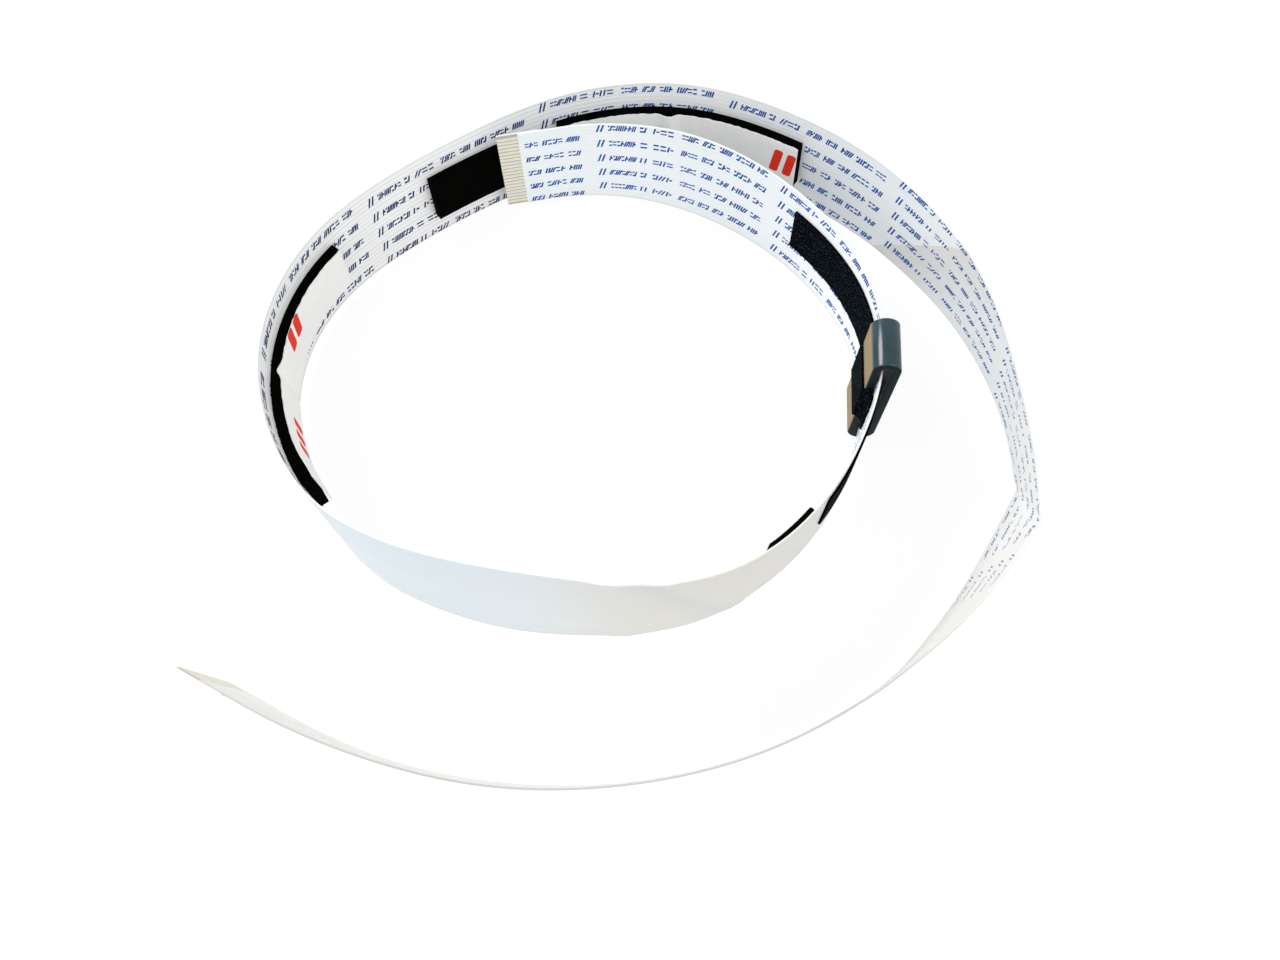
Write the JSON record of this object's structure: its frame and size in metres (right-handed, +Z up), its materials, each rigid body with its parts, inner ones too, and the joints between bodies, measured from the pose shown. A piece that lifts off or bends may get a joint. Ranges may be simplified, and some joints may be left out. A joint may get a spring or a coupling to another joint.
{
  "type": "flat ribbon cable",
  "caption": "Flat flexible ribbon cable standing on edge in a loose spiral, with bare contact ends, a flat ferrite core, cloth tape and foam mounting pads with release liners.",
  "frame": {"origin": "centre of the footprint box, on the surface that the ribbon's lower edge stands on", "axes": "+Z up, across the width of the ribbon; +Y from the open side of the spiral with both ends to the rear, +X to the side of the ferrite core"},
  "size_m": [0.1343, 0.1309, 0.0266],
  "materials": {
    "film": "satin",
    "contact": "tinned",
    "stiffener": "satin",
    "ferrite": "coated, glossy",
    "cloth_tape": "matte",
    "foam": "matte",
    "liner": "satin"
  },
  "bodies": {
    "root": {"back_film": "film", "front_film": "film", "start_contacts": "contact", "end_contacts": "contact", "start_stiffener": "stiffener", "end_stiffener": "stiffener", "ferrite_core": "ferrite", "inner_tape": "cloth_tape", "outer_tape": "cloth_tape", "bare_pad": "foam", "rear_pad": "foam", "rear_liner": "liner", "left_pad": "foam", "left_liner": "liner", "front_pad": "foam", "front_liner": "liner"}
  },
  "joints": []
}
